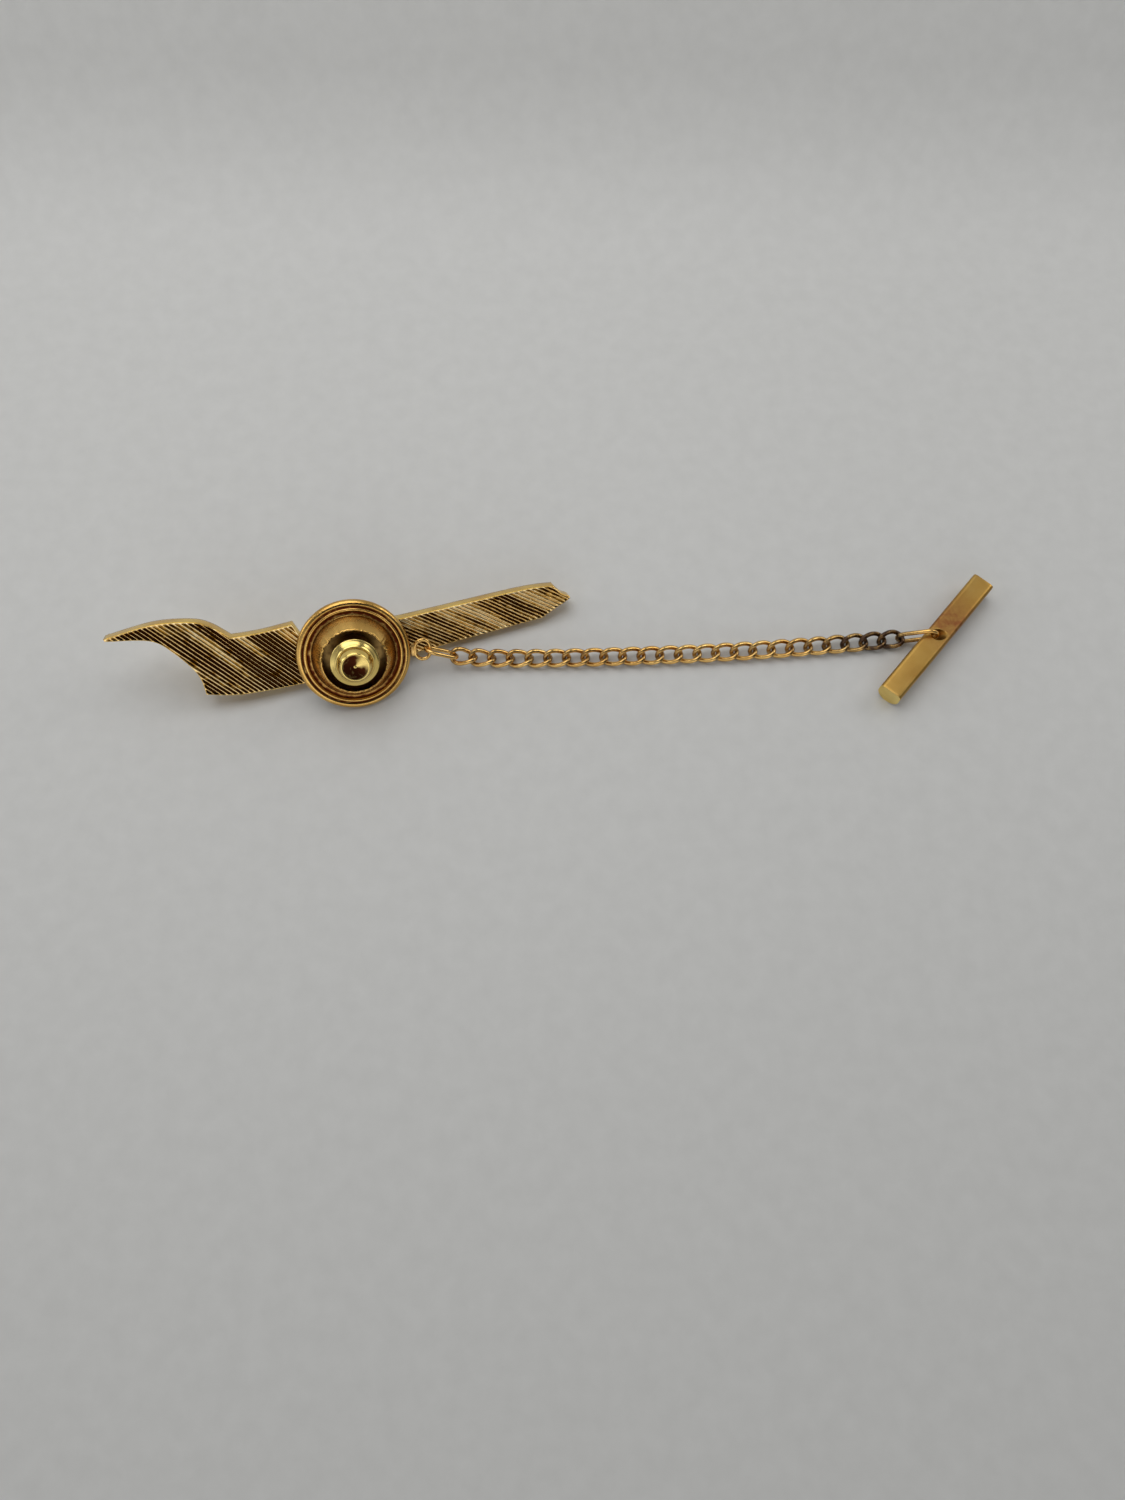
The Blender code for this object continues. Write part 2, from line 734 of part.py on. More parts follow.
def main():
    clear_scene()
    gold = plated("gold_plate", (0.83, 0.62, 0.26), 0.22)
    dark_gold = plated("tarnished_gold", (0.45, 0.30, 0.13), 0.35)
    rose = plated("rose_gold_wire", (0.80, 0.52, 0.30), 0.25)
    satin = plated("satin_gold", (0.62, 0.46, 0.22), 0.38)
    steel = plated("steel", (0.56, 0.56, 0.58), 0.28)
    brass = plated("brass", (0.72, 0.55, 0.25), 0.35)
    tin = plated("solder", (0.62, 0.58, 0.48), 0.4)
    matrix, stand_off = leaning_frame()
    ornament = frame_empty("Ornament_frame", matrix)
    lift = Matrix.Translation((0, 0, stand_off * MM))
    clutch = frame_empty("Clutch_frame", lift, ornament)
    build_plate(ornament, dark_gold)
    build_post(ornament, gold)
    build_solder_ring(ornament, tin)
    build_shell(clutch, gold)
    build_base(clutch, brass)
    build_cup(clutch, brass)
    build_race(clutch, steel)
    build_cage(clutch, brass)
    build_balls(clutch, steel)
    build_spring(clutch, steel)
    build_knob(clutch, gold)
    build_eyelet(clutch, rose)
    centres = build_chain(rose)
    build_jump_ring(matrix @ lift, centres, rose)
    build_end_ring(centres, rose)
    build_bar(centres, satin)
    bpy.context.view_layer.update()


main()
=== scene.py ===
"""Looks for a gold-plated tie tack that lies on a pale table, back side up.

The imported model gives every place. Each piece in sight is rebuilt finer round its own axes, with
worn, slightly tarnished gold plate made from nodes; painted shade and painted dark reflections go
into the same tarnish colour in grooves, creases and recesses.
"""

import json
import math

import bmesh
import bpy
import numpy as np
from mathutils import Matrix, Vector, geometry, noise

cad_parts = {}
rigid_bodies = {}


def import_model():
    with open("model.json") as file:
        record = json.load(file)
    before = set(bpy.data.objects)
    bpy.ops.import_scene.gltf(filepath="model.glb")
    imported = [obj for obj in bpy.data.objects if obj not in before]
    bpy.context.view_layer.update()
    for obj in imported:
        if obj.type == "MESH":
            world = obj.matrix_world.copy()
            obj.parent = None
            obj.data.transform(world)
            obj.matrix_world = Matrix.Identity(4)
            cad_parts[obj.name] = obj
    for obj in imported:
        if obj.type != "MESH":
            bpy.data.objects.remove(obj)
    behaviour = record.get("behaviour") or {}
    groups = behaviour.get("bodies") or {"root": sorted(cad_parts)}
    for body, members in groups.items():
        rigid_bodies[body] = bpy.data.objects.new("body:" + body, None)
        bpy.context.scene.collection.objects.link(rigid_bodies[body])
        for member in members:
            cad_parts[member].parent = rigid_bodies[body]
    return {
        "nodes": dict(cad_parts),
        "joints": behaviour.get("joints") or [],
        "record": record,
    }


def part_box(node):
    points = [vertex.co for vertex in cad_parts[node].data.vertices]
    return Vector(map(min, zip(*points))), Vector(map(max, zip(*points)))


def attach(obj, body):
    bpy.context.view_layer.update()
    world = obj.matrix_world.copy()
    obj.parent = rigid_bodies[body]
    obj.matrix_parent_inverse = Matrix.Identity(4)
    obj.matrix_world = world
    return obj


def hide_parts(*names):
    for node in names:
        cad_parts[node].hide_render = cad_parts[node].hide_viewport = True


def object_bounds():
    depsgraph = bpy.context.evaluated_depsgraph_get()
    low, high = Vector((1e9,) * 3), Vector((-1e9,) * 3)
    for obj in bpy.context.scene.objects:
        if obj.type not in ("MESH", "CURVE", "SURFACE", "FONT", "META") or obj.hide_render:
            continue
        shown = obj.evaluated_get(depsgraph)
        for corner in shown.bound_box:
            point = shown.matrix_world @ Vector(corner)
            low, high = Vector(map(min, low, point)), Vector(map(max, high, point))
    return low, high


MM = 0.001

# A point of a turned section nearer the axis than this, in mm, counts as on it
AXIS_R = 1e-6

# Camera: where it looks on the table from the tack's middle, how far off and how steep, and the
# frame's long side and the focal length in the same units
LOOK_AT = (-0.08, -12.06)
CAMERA_DISTANCE = 118.0
CAMERA_ELEVATION_DEG = 70.0
FRAME_TALL = 1500
FOCAL = 1127
SENSOR = 36.0
CLIP = (0.001, 10.0)

# Ornament, in mm; each pair is for the wing side and the blade side of the post
PLATE_THICK = 1.8
PLATE_CHAMFER = 0.3
PLATE_ROUND = 0.05
EDGE_LOW = -2.4
RIDGE_DEPTH = 0.08
RIDGE_TURN_DEG = (-53.5, -39.3)
RIDGE_PITCH = (0.385, 0.36)
RIDGE_EDGE = 0.16
ROWS_PER_RIDGE = 8
ROW_STEP = 0.15
RIDGE_MEET = 1.0
RIDGE_DRIFT = 0.10

# Clutch, in mm from its own middle and from its underside
RIM_R = 5.4
RIM_WIRE_R = 0.485
BEAD_R = 4.93
WALL_FOOT_R = 4.34
MOUTH_R = 3.40
MOUTH_TOP = 2.87
SHELL_THICK = 0.16
SHELL_SIDES = 220
KNOB_SIDES = 140
KNOB_FLANGE_R = 2.5

# Wires, in mm
EYELET_R = 7.15
EYELET_HALF = (1.05, 0.78)
EYELET_WIRE_R = 0.19
JUMP_WIRE_R = 0.212
JUMP_HALF_WIDTH = 0.85
LINKS = 24
LINK_HALF = (1.285, 0.785)
LINK_TWIST = 0.38
LINK_WIRE_R = 0.241
END_WIRE_R = 0.232
END_HALF = (2.05, 0.85)
PLAIN_TARNISH = 0.12

# The pale tent: its brightness from below to above, its dark gaps and its glow low in front.
# Each patch is a direction and how its brightness changes with the agreement of directions.
TENT_STRENGTH = 1.67
TENT_HIGH = (0.0, 0.45, 0.89)
TENT_TONES = ((0.0, 0.10), (0.30, 0.45), (0.44, 0.80), (0.60, 0.44), (0.80, 0.20), (1.0, 0.17))
TENT_PATCHES = (
    ((0.10, -0.36, 0.93), ((0.86, 1.0), (0.93, 0.05))),
    ((0.82, -0.50, 0.28), ((0.80, 1.0), (0.93, 0.15))),
    ((0.05, -0.94, 0.34), ((0.86, 0.6), (0.95, 1.0))),
)

# Soft boxes: name, place, where it points, size and power
LIGHTS = (
    ("Overhead_box", (-55, 110, 290), (-20, 40, 0), (300, 290), 0.475),
    ("Left_box", (-320, 40, 170), (-20, 10, 0), (120, 200), 0.13),
    ("Right_box", (280, 130, 200), (10, 20, 0), (150, 190), 0.20),
)

# Paper, in mm: its width and reach to the front, and the sweep behind the tack
PAPER_X = (-600, -200, 0, 200, 600)
PAPER_FRONT = (-600, -200)
SWEEP_START = 50.0
SWEEP_R = 27.0
SWEEP_DEG = 55.0
SWEEP_STEPS = 32
SWEEP_BACK = 250

# T-bar, in mm
BAR_LENGTH = 17.38
BAR_HALF_WIDTH = 1.245
BAR_HEIGHT = 2.395
BAR_EDGE = 0.46
BAR_HOLE_R = 0.66
CUTTER_DEPTH = 8.0

for leftover in list(bpy.data.objects):
    bpy.data.objects.remove(leftover, do_unlink=True)

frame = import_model()
CAD_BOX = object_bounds()
RECORD = frame["record"]
JOINTS = {j["name"]: j for j in frame["joints"]}
MOUNTS = {m["name"]: m for m in RECORD["mounts"]}
OWN_POINTS = {}


# ------------------------------------------------------------------ places


def axes_matrix(origin, x_axis, y_axis, z_axis):
    """A frame of axes as a matrix."""
    turn = Matrix((x_axis, y_axis, z_axis)).transposed().to_4x4()
    return Matrix.Translation(origin) @ turn


def clutch_axes():
    """The clutch's own axes: along the ornament, across it, and out along the post."""
    out = Vector(JOINTS["clutch_turn"]["axis"]).normalized()
    a = Vector(JOINTS["lock_ball_1_out"]["axis"])
    b = Vector(JOINTS["lock_ball_2_out"]["axis"])
    along = a - b
    along = (along - out * out.dot(along)).normalized()
    return Vector(JOINTS["clutch_turn"]["pos_m"]), along, out.cross(along), out


def clutch_matrix():
    """The clutch's axes as a matrix."""
    return axes_matrix(*clutch_axes())


def ornament_matrix():
    """The ornament's axes, with the origin at the post's foot on the back face."""
    base, along, across, out = clutch_axes()
    front = Vector(MOUNTS["ornament_front"]["pos_m"])
    above = out.dot(base - front) - PLATE_THICK * MM
    return axes_matrix(base - out * above, along, across, out)


def node_points(name):
    """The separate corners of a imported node."""
    points = np.array([v.co for v in frame["nodes"][name].data.vertices], float)
    return np.unique(np.round(points, 7), axis=0)


def wire_axes(name, toward=Vector((1, 0, 0))):
    """A wire ring's middle and axes: its long way, its wide way, and through it."""
    points = node_points(name)
    middle = points.mean(0)
    _, vectors = np.linalg.eigh(np.cov((points - middle).T))
    along = Vector(vectors[:, 2])
    through = Vector(vectors[:, 0])
    if along.dot(toward) < 0:
        along.negate()
    if through.z < 0:
        through.negate()
    return axes_matrix(Vector(middle), along, through.cross(along), through)


# ------------------------------------------------------------------ meshes


def finish_piece(name, bm, matrix, body, node, mats, smooth=True):
    """A piece drawn round its own axes and then set in place."""
    bmesh.ops.recalc_face_normals(bm, faces=bm.faces)
    for face in bm.faces:
        face.smooth = smooth
    mesh = bpy.data.meshes.new(name)
    bm.to_mesh(mesh)
    bm.free()
    for mat in mats:
        mesh.materials.append(mat)
    ob = bpy.data.objects.new(name, mesh)
    bpy.context.scene.collection.objects.link(ob)
    OWN_POINTS[name] = np.array([v.co for v in mesh.vertices], float) / MM
    mesh.transform(matrix)
    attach(ob, body)
    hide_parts(node)
    return ob


def set_tarnish_and_shade(ob, values):
    """How much tarnish and painted shade the piece has at each point: one value each, or one for
    all.
    """
    layer = ob.data.attributes.new("tarnish_and_shade", "FLOAT", "POINT")
    values = np.broadcast_to(values, len(ob.data.vertices))
    layer.data.foreach_set("value", np.ascontiguousarray(values, np.float32))


def local_points(ob):
    """The piece's points round its own axes, in mm."""
    return OWN_POINTS[ob.name]


def join_rings(bm, a, b):
    """Faces between two rings of points; either ring may be a single point."""
    n = max(len(a), len(b))
    for k in range(n):
        m = (k + 1) % n
        if len(a) == 1:
            bm.faces.new((a[0], b[k], b[m]))
        elif len(b) == 1:
            bm.faces.new((a[k], a[m], b[0]))
        else:
            bm.faces.new((a[k], a[m], b[m], b[k]))


def rounded(points, radius, steps=4, closed=True):
    """A section with each corner turned into a short curve."""
    out = []
    n = len(points)
    for i, here in enumerate(points):
        if not closed and i in (0, n - 1):
            out.append(tuple(here))
            continue
        before = Vector(points[i - 1])
        after = Vector(points[(i + 1) % n])
        here = Vector(here)
        to_a = before - here
        to_b = after - here
        cut = min(radius, to_a.length * 0.45, to_b.length * 0.45)
        start = here + to_a.normalized() * cut
        end = here + to_b.normalized() * cut
        for k in range(steps + 1):
            t = k / steps
            p = start * (1 - t) ** 2 + here * (2 * t * (1 - t)) + end * t * t
            out.append(tuple(p))
    return out


def arc(cx, cy, radius, start_deg, end_deg, steps):
    """Points along part of a circle."""
    out = []
    for k in range(steps + 1):
        a = math.radians(start_deg + (end_deg - start_deg) * k / steps)
        out.append((cx + radius * math.cos(a), cy + radius * math.sin(a)))
    return out


def revolve(profile, sides, closed=True, skip=None):
    """A profile of radius and height turned round the axis. A closed profile joins its ends, and
    skip names a point whose link to the next is left out."""
    bm = bmesh.new()
    rings = []
    for radius, height in profile:
        if radius < AXIS_R:
            rings.append([bm.verts.new((0, 0, height * MM))])
            continue
        ring = []
        for k in range(sides):
            a = 2 * math.pi * k / sides
            at = (radius * math.cos(a) * MM, radius * math.sin(a) * MM, height * MM)
            ring.append(bm.verts.new(at))
        rings.append(ring)
    count = len(rings) if closed else len(rings) - 1
    for i in range(count):
        if i != skip:
            join_rings(bm, rings[i], rings[(i + 1) % len(rings)])
    return bm


def wire(points, tangents, guides, radius, sides, flat=1.0):
    """A closed wire along a line of points in mm; flat squeezes it across the guides."""
    bm = bmesh.new()
    rings = []
    for at, along, guide in zip(points, tangents, guides):
        along = along.normalized()
        out = (guide - along * guide.dot(along)).normalized()
        side = along.cross(out)
        ring = []
        for k in range(sides):
            a = 2 * math.pi * (k + 0.5) / sides
            p = at + (out * math.cos(a) * flat + side * math.sin(a)) * radius
            ring.append(bm.verts.new(p * MM))
        rings.append(ring)
    for i in range(len(rings)):
        join_rings(bm, rings[i], rings[(i + 1) % len(rings)])
    return bm


def racetrack(half_long, half_wide, steps):
    """The line of a long ring: two half circles joined by straights."""
    points = []
    tangents = []
    straight = half_long - half_wide
    for side, start in ((1, -90), (-1, 90)):
        for k in range(steps + 1):
            t = math.radians(start + 180 * k / steps)
            x = side * straight + half_wide * math.cos(t)
            points.append(Vector((x, half_wide * math.sin(t), 0)))
            tangents.append(Vector((-math.sin(t), math.cos(t), 0)))
    return points, tangents, [Vector((0, 0, 1))] * len(points)


# --------------------------------------------------------------- materials


def node(tree, kind, **inputs):
    """A new shader node with some of its inputs set."""
    made = tree.nodes.new(kind)
    for key, value in inputs.items():
        made.inputs[key].default_value = value
    return made


def ramp(tree, source, stops):
    """A colour ramp; each stop is a place and a colour, or a place and a grey."""
    made = tree.nodes.new("ShaderNodeValToRGB")
    elements = made.color_ramp.elements
    while len(elements) < len(stops):
        elements.new(0.5)
    for element, (place, color) in zip(elements, stops):
        element.position = place
        element.color = (*(color if isinstance(color, tuple) else grey(color)), 1.0)
    tree.links.new(source, made.inputs["Fac"])
    return made.outputs["Color"]


def grey(value):
    return (value, value, value)


def mix(tree, factor, a, b, kind="MIX"):
    """A mix of two colours; each input is a number, a colour or another node's output."""
    made = tree.nodes.new("ShaderNodeMix")
    made.data_type = "RGBA"
    made.blend_type = kind
    for socket, value in ((made.inputs[0], factor), (made.inputs[6], a), (made.inputs[7], b)):
        if isinstance(value, (int, float)):
            socket.default_value = value
        elif isinstance(value, tuple):
            socket.default_value = (*value, 1.0)
        else:
            tree.links.new(value, socket)
    return made.outputs[2]


def maths(tree, operation, a, b=0.0, clamp=False):
    """A sum on two inputs, each a number or another node's output."""
    made = tree.nodes.new("ShaderNodeMath")
    made.operation = operation
    made.use_clamp = clamp
    for socket, value in zip(made.inputs, (a, b)):
        if isinstance(value, (int, float)):
            socket.default_value = value
        else:
            tree.links.new(value, socket)
    return made.outputs[0]


def scaled_noise(tree, coords, scale, detail=3.0, stretch=(1, 1, 1), turn=(0, 0, 0)):
    """Noise whose scale is in features per millimetre."""
    place = tree.nodes.new("ShaderNodeMapping")
    place.inputs["Scale"].default_value = [s / MM for s in stretch]
    place.inputs["Rotation"].default_value = turn
    tree.links.new(coords, place.inputs["Vector"])
    made = node(tree, "ShaderNodeTexNoise", Scale=scale, Detail=detail)
    tree.links.new(place.outputs["Vector"], made.inputs["Vector"])
    return made.outputs["Fac"]


def plate_material(name, bright, deep, tarnish_and_shade, rough=(0.12, 0.26), spots=0.45, bump=0.012,
                   tarnish_and_shade_rough=0.42, tarnish_and_shade_midtone=None):
    """Gold plate: bright metal that drifts towards a deeper tone, fine scratches and pits, and
    a film of tarnish and painted shade where the piece's own tarnish-and-shade values say. Its
    midtone may have a colour of its own."""
    mat = bpy.data.materials.new(name)
    mat.use_nodes = True
    tree = mat.node_tree
    shader = tree.nodes["Principled BSDF"]
    shader.inputs["Metallic"].default_value = 1.0
    coords = node(tree, "ShaderNodeTexCoord").outputs["Object"]
    broad = scaled_noise(tree, coords, 0.35, 2.0)
    patch = scaled_noise(tree, coords, 1.7, 4.0)
    fine = scaled_noise(tree, coords, 9.0, 3.0)
    lines = scaled_noise(tree, coords, 1.2, 5.0, (0.6, 14.0, 3.0), (0.3, 0.2, 0.5))
    # The attribute holds real tarnish on some pieces and painted shade and painted dark reflections
    # on others
    tarnish_and_shade_level = node(tree, "ShaderNodeAttribute")
    tarnish_and_shade_level.attribute_name = "tarnish_and_shade"
    tarnish_and_shade_level = tarnish_and_shade_level.outputs["Fac"]
    tone = ramp(tree, broad, [(0.32, bright), (0.68, deep)])
    tone = mix(tree, maths(tree, "MULTIPLY", patch, 0.35), tone, deep)
    uneven = maths(tree, "MULTIPLY", patch, 2.0)
    amount = maths(tree, "MULTIPLY", tarnish_and_shade_level, uneven, clamp=True)
    speck = ramp(tree, fine, [(0.70, 0.0), (0.78, 1.0)])
    speck = maths(tree, "MULTIPLY", speck, spots)
    amount = maths(tree, "MAXIMUM", amount, maths(tree, "MULTIPLY", speck, uneven, clamp=True))
    thick = amount
    if tarnish_and_shade_midtone:
        tone = mix(tree, maths(tree, "MULTIPLY", amount, 2.0, clamp=True), tone, tarnish_and_shade_midtone)
        thick = maths(tree, "SUBTRACT", maths(tree, "MULTIPLY", amount, 2.0), 1.0, clamp=True)
    tree.links.new(mix(tree, thick, tone, tarnish_and_shade), shader.inputs["Base Color"])
    gloss = tree.nodes.new("ShaderNodeMapRange")
    gloss.inputs["From Min"].default_value = 0.3
    gloss.inputs["From Max"].default_value = 0.7
    gloss.inputs["To Min"].default_value = rough[0]
    gloss.inputs["To Max"].default_value = rough[1]
    tree.links.new(patch, gloss.inputs["Value"])
    worn = maths(tree, "MULTIPLY", amount, tarnish_and_shade_rough - rough[1])
    tree.links.new(maths(tree, "ADD", gloss.outputs[0], worn), shader.inputs["Roughness"])
    height = maths(tree, "ADD", maths(tree, "MULTIPLY", lines, 0.6),
                   maths(tree, "MULTIPLY", fine, 0.5))
    relief = node(tree, "ShaderNodeBump", Strength=1.0, Distance=bump * MM)
    tree.links.new(height, relief.inputs["Height"])
    tree.links.new(relief.outputs["Normal"], shader.inputs["Normal"])
    return mat


GOLD = plate_material("Gold_plate", (0.90, 0.60, 0.14), (0.70, 0.42, 0.07), (0.16, 0.05, 0.012))
# On the cap the tarnish colour is painted shade and painted dark reflections
CUP_GOLD = plate_material("Shell_gold_plate", (0.82, 0.51, 0.15), (0.56, 0.31, 0.075),
                          (0.08, 0.014, 0.004), rough=(0.10, 0.22), bump=0.02)
# On the knob the tarnish colour is the painted dark reflection in the pit and painted shade in its
# crease
KNOB_GOLD = plate_material("Knob_gold_plate", (0.98, 0.76, 0.27), (0.86, 0.62, 0.18),
                           (0.06, 0.014, 0.005), rough=(0.12, 0.22), bump=0.006)
# On the ornament's back the tarnish colour and its midtone are painted shade in the grooves between
# the ridges
BACK_GOLD = plate_material("Ornament_back_plate", (1.0, 0.84, 0.50), (1.0, 0.72, 0.32),
                           (0.024, 0.007, 0.001), rough=(0.14, 0.24), spots=0.1, tarnish_and_shade_rough=0.28,
                           tarnish_and_shade_midtone=(0.50, 0.25, 0.035))
WALL_GOLD = plate_material("Ornament_edge_plate", (1.0, 0.68, 0.13), (0.74, 0.42, 0.05),
                           (0.14, 0.05, 0.01), rough=(0.10, 0.22))
# In the wires the tarnish colour is real dullness on the last links and painted shade at the link
# ends
COPPER_GOLD = plate_material("Copper_gold_wire", (0.98, 0.66, 0.24), (0.80, 0.46, 0.13),
                             (0.085, 0.050, 0.032), rough=(0.10, 0.20), tarnish_and_shade_rough=0.38)
SATIN_GOLD = plate_material("Satin_gold_bar", (0.55, 0.345, 0.10), (0.45, 0.26, 0.06),
                            (0.26, 0.095, 0.035), rough=(0.30, 0.38), spots=0.0, bump=0.0012)
BRASS = plate_material("Stamped_brass", (0.62, 0.42, 0.15), (0.42, 0.26, 0.08), (0.10, 0.05, 0.02),
                       rough=(0.28, 0.42))
STEEL = plate_material("Bearing_steel", (0.52, 0.52, 0.54), (0.40, 0.40, 0.41), (0.10, 0.08, 0.06),
                       rough=(0.18, 0.30))
TIN = plate_material("Plated_solder", (0.66, 0.50, 0.24), (0.46, 0.36, 0.20), (0.12, 0.08, 0.05),
                     rough=(0.26, 0.44), bump=0.03)


# ---------------------------------------------------------------- ornament


def spline(points, steps):
    """A smooth line through the points, without its last one."""
    pts = [points[0], *points, points[-1]]
    out = []
    for i in range(1, len(pts) - 2):
        for k in range(steps):
            out.append(spline_point(pts[i - 1 : i + 3], k / steps))
    return out


def spline_point(four, t):
    """A point between the middle two of four points."""
    at = []
    for axis in (0, 1):
        a, b, c, d = (p[axis] for p in four)
        bend = 2 * a - 5 * b + 4 * c - d
        turn = -a + 3 * b - 3 * c + d
        at.append(0.5 * (2 * b + (c - a) * t + bend * t * t + turn * t ** 3))
    return tuple(at)


def ornament_outline(steps=9):
    """The ornament seen from behind, with the post at the origin: a swept wing on the left, a
    waist behind the clutch, and a long blade on the right."""
    wing_top = [(-23.5, 7.7), (-18.6, 7.85), (-14.85, 7.1), (-13.1, 6.1), (-11.6, 4.45)]
    notch_top = [(-11.6, 4.45), (-8.7, 4.15), (-5.25, 4.1)]
    blade_top = [(-4.7, 2.3), (5.2, 1.7), (18.2, 1.24), (22.3, 0.75)]
    blade_tip = [(22.3, 0.75), (23.0, -0.3), (23.8, -1.05), (22.2, -1.7), (20.4, EDGE_LOW)]
    wing_low = [(-6.1, EDGE_LOW), (-12.3, -1.8), (-15.9, -0.75)]
    wing_back = [(-15.9, -0.75), (-16.0, 1.6), (-17.6, 4.6), (-19.3, 6.3), (-22.9, 7.3)]
    runs = (
        spline(wing_top, steps),
        spline(notch_top, steps),
        [(-5.25, 4.1)],
        spline(blade_top, steps * 2),
        spline(blade_tip, steps),
        [(20.4 - 26.5 * k / 40, EDGE_LOW) for k in range(40)],
        spline(wing_low, steps),
        spline(wing_back, steps),
        [(-22.9, 7.3), (-23.45, 7.45)],
    )
    return [p for run in runs for p in run]


def inset(points, gap):
    """The outline moved inwards by gap; the points run clockwise."""
    out = []
    n = len(points)
    for i, here in enumerate(points):
        here = Vector(here)
        a = (here - Vector(points[i - 1])).normalized()
        b = (Vector(points[(i + 1) % n]) - here).normalized()
        na = Vector((a.y, -a.x))
        nb = Vector((b.y, -b.x))
        middle = (na + nb).normalized()
        out.append(here + middle * (gap / max(middle.dot(na), 0.6)))
    return out


def edge_distance(points, outline):
    """How far each point is from the outline, in mm."""
    ring = np.array([tuple(p) for p in outline])
    after = np.roll(ring, -1, axis=0)
    best = np.full(len(points), 1e9)
    for a, b in zip(ring, after):
        along = b - a
        t = np.clip(((points - a) @ along) / max(along @ along, 1e-12), 0, 1)
        best = np.minimum(best, np.linalg.norm(points - a - t[:, None] * along, axis=1))
    return best


def fill(points, count):
    """Triangles over the points inside the outline that the first count of them draw."""
    return geometry.delaunay_2d_cdt([Vector(p) for p in points], [], [list(range(count))], 1, 1e-6)


def ridge_rows(ring, half):
    """Points on the ridges' own rows, over one half of the back. Each comes with its place in
    the pattern, where whole numbers are crests, and with the broad streaks along the ridges."""
    turn = math.radians(RIDGE_TURN_DEG[half])
    step = RIDGE_PITCH[half] / ROWS_PER_RIDGE
    along = np.array((math.cos(turn), math.sin(turn)))
    across = np.array((-math.sin(turn), math.cos(turn)))
    reach = float(np.abs(ring).max()) * 1.1
    rows = round(reach / step)
    u, v = np.meshgrid(np.arange(-reach, reach, ROW_STEP), np.arange(-rows, rows) * step)
    u, v = u.ravel(), v.ravel()
    at = u[:, None] * along + v[:, None] * across
    ours = at[:, 0] < RIDGE_MEET if half == 0 else at[:, 0] >= RIDGE_MEET
    keep = np.all((at > ring.min(0)) & (at < ring.max(0)), axis=1) & ours
    u, v, at = u[keep], v[keep], at[keep]
    drift = np.array([noise.noise(Vector((x * 0.25, y * 0.25, 3.0))) for x, y in at]) * RIDGE_DRIFT
    at = at + drift[:, None] * across
    streak = np.array([noise.noise(Vector((a * 0.10, b * 0.75, 5.0 + half)))
                       for a, b in zip(u, v)])
    keep = edge_distance(at, ring) > step * 0.6
    return at[keep], v[keep] / RIDGE_PITCH[half], streak[keep]


def ridge_pattern(points, phase, streak):
    """How high the cast ridges stand at each point, from 0 in a groove to 1 on a crest, and how
    much painted shade darkens the grooves there."""
    rough = np.array([noise.noise(Vector((x * 1.1, y * 1.1, 9.0))) for x, y in points])
    right = np.clip((points[:, 0] + 1.0) / 4.0, 0, 1)
    part = np.abs((phase % 1.0) - 0.5) * 2
    width = np.clip(0.40 + 0.06 * right - 0.28 * streak, 0.26, 0.54)
    crest = np.exp(-((1 - part) / width) ** 2)
    flaw = np.clip(1.1 - 0.8 * np.clip(rough - 0.12, 0, 1), 0.5, 1)
    # Painted groove shade: deeper on the wing side and along the broad streaks
    ridge_groove_shade = np.clip(1.55 - 0.70 * right + 2.6 * streak, 0.35, 2.8)
    return crest * flaw, ridge_groove_shade


def ornament_back(outline):
    """The ridged back face as a fine triangle mesh, in mm: points, faces, ridge and painted groove
    shade.
    """
    ring = np.array([tuple(p) for p in inset(outline, PLATE_ROUND)])
    flat = np.zeros(len(ring))
    runs = [(ring, flat, flat), ridge_rows(ring, 0), ridge_rows(ring, 1)]
    coords, phase, streak = (np.concatenate(values) for values in zip(*runs))
    made = fill(coords, len(ring))
    used = sorted({k for corners in made[2] for k in corners})
    place = {k: i for i, k in enumerate(used)}
    faces = [[place[k] for k in corners] for corners in made[2]]
    points = np.array([tuple(made[0][k]) for k in used])
    source = [made[3][k][0] for k in used]
    crest, ridge_groove_shade = ridge_pattern(points, phase[source], streak[source])
    inside = np.clip(edge_distance(points, ring) / RIDGE_EDGE, 0, 1)
    height = -RIDGE_DEPTH * (1 - crest) * inside * inside
    # Painted shade in the grooves, none on the crests, fading out near the edge
    tarnish_and_shade = ridge_groove_shade * (1 - crest) * inside
    return points, height, tarnish_and_shade, faces


def add_wall(bm, outline):
    """The plate's side wall with a small round at the back and a chamfer at the front."""
    levels = [(inset(outline, PLATE_ROUND), 0.0)]
    for k in range(1, 5):
        a = math.radians(90 * (1 - k / 4))
        gap = PLATE_ROUND * (1 - math.cos(a))
        levels.append((inset(outline, gap), -PLATE_ROUND * (1 - math.sin(a))))
    deep = PLATE_THICK - PLATE_CHAMFER
    for k in range(1, 5):
        levels.append((outline, -PLATE_ROUND - (deep - PLATE_ROUND) * k / 4))
    for k in range(1, 5):
        cut = PLATE_CHAMFER * k / 4
        levels.append((inset(outline, cut), -deep - cut))
    rings = []
    for points, height in levels:
        rings.append([bm.verts.new((p[0] * MM, p[1] * MM, height * MM)) for p in points])
    for a, b in zip(rings, rings[1:]):
        join_rings(bm, a, b)
    front = fill(levels[-1][0], len(outline))
    low = [bm.verts.new((p[0] * MM, p[1] * MM, -PLATE_THICK * MM)) for p in front[0]]
    for corners in front[2]:
        bm.faces.new([low[k] for k in corners])
    for face in bm.faces:
        face.material_index = 1


